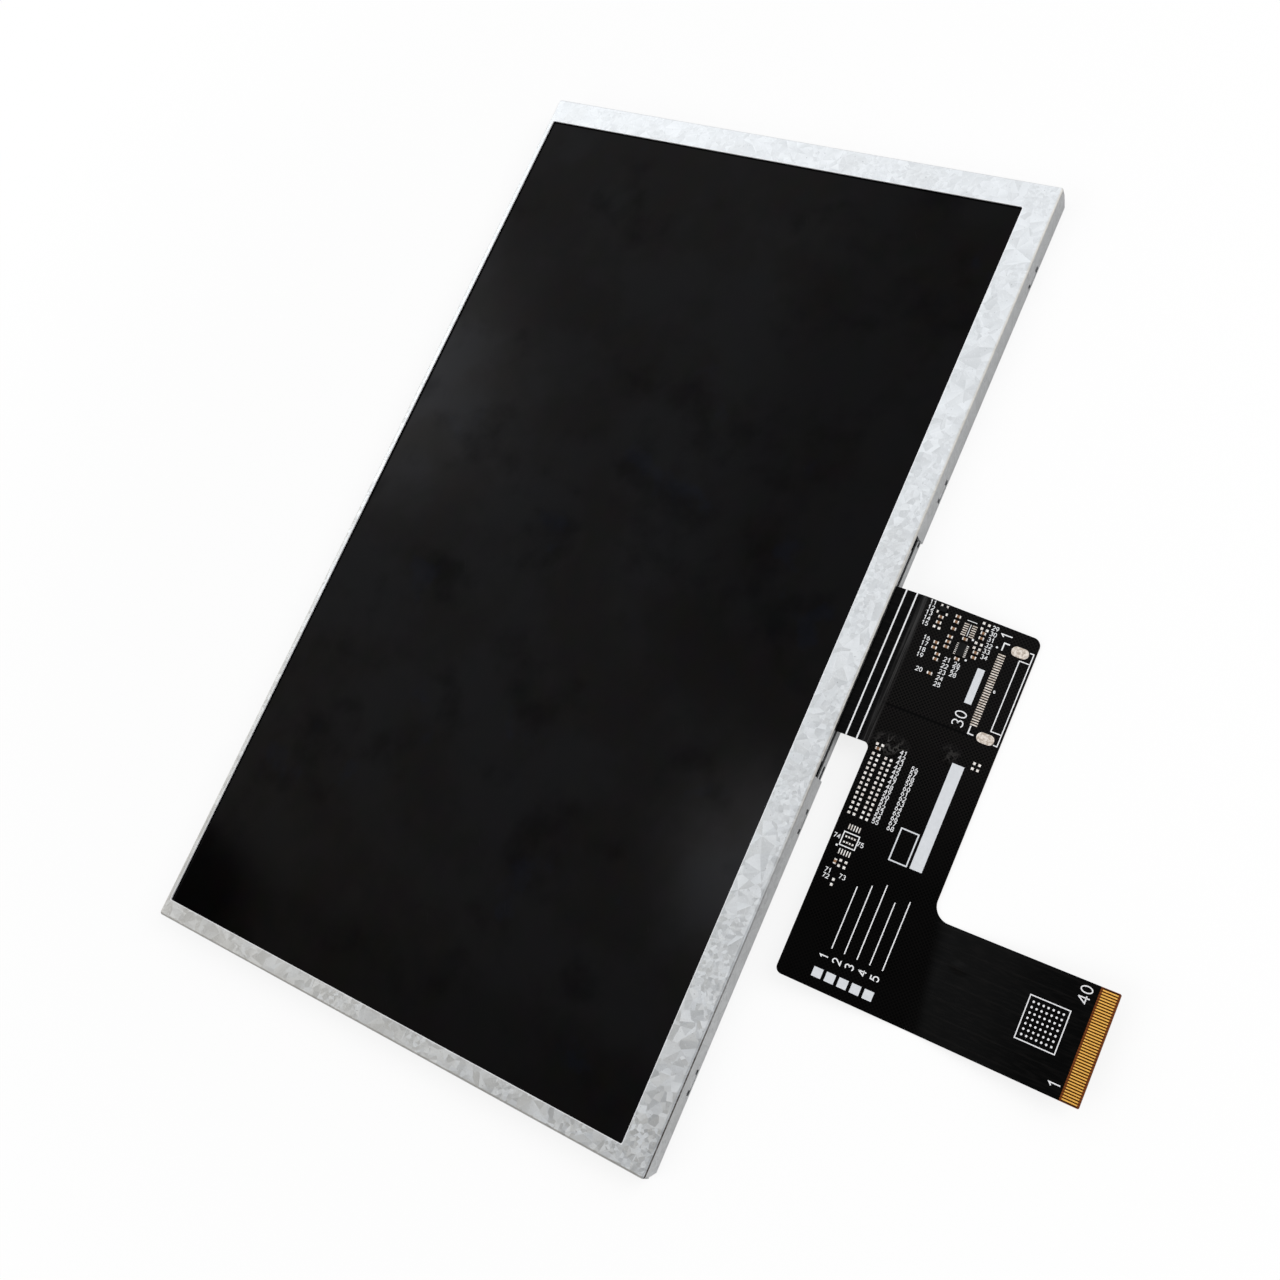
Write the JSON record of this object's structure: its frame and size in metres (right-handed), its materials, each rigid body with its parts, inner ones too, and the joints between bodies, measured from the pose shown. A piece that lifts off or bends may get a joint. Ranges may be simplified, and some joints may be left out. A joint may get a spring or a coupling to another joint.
{
  "type": "tft display module",
  "caption": "Flat colour display module: folded steel bezel round a dark screen, backlight stack and rear tray, with a bent black flexible circuit ending in gilt contact fingers.",
  "frame": {"origin": "centre of the rear cover's outer face, on which the module lies", "axes": "+X along the long side, +Y toward the narrow border, away from the flexible circuit, +Z out of the screen"},
  "size_m": [0.211, 0.1918, 0.0059],
  "materials": {
    "zinc_steel": "spangled zinc",
    "screen_film": "gloss",
    "display_glass": "clear",
    "dark_film": "satin",
    "driver_silicon": "polished",
    "black_moulding": "moulded",
    "black_tape": "matt",
    "diffuser_film": "matt",
    "prism_film": "fine ribbed",
    "guide_acrylic": "clear",
    "reflector_film": "bright white",
    "lamp_body": "matt",
    "strip_film": "matt",
    "amber_film": "satin",
    "black_film": "satin",
    "gilt_contact": "plated",
    "tinned_land": "tinned",
    "ceramic_chip": "matt",
    "package_resin": "matt",
    "white_print": "printed"
  },
  "bodies": {
    "root": {"front_bezel": "zinc_steel", "rear_cover": "zinc_steel", "moulded_frame": "black_moulding", "front_polarizer": "screen_film", "filter_glass": "display_glass", "array_glass": "display_glass", "rear_polarizer": "dark_film", "source_drivers": "driver_silicon", "gate_driver": "driver_silicon", "rim_tape": "black_tape", "upper_diffuser": "diffuser_film", "upper_prism": "prism_film", "lower_prism": "prism_film", "lower_diffuser": "diffuser_film", "light_guide": "guide_acrylic", "reflector": "reflector_film", "lamp_strip": "strip_film", "lamps": "lamp_body", "flex_core": "amber_film", "flex_upper_cover": "black_film", "flex_lower_cover": "black_film", "finger_stiffener": "amber_film", "contact_fingers": "gilt_contact", "connector_lands": "tinned_land", "anchor_lands": "tinned_land", "square_lands": "tinned_land", "memory_lands": "tinned_land", "converter_lands": "tinned_land", "chip_parts": "ceramic_chip", "chip_ends": "tinned_land", "small_packages": "package_resin", "package_leads": "tinned_land"}
  },
  "joints": []
}
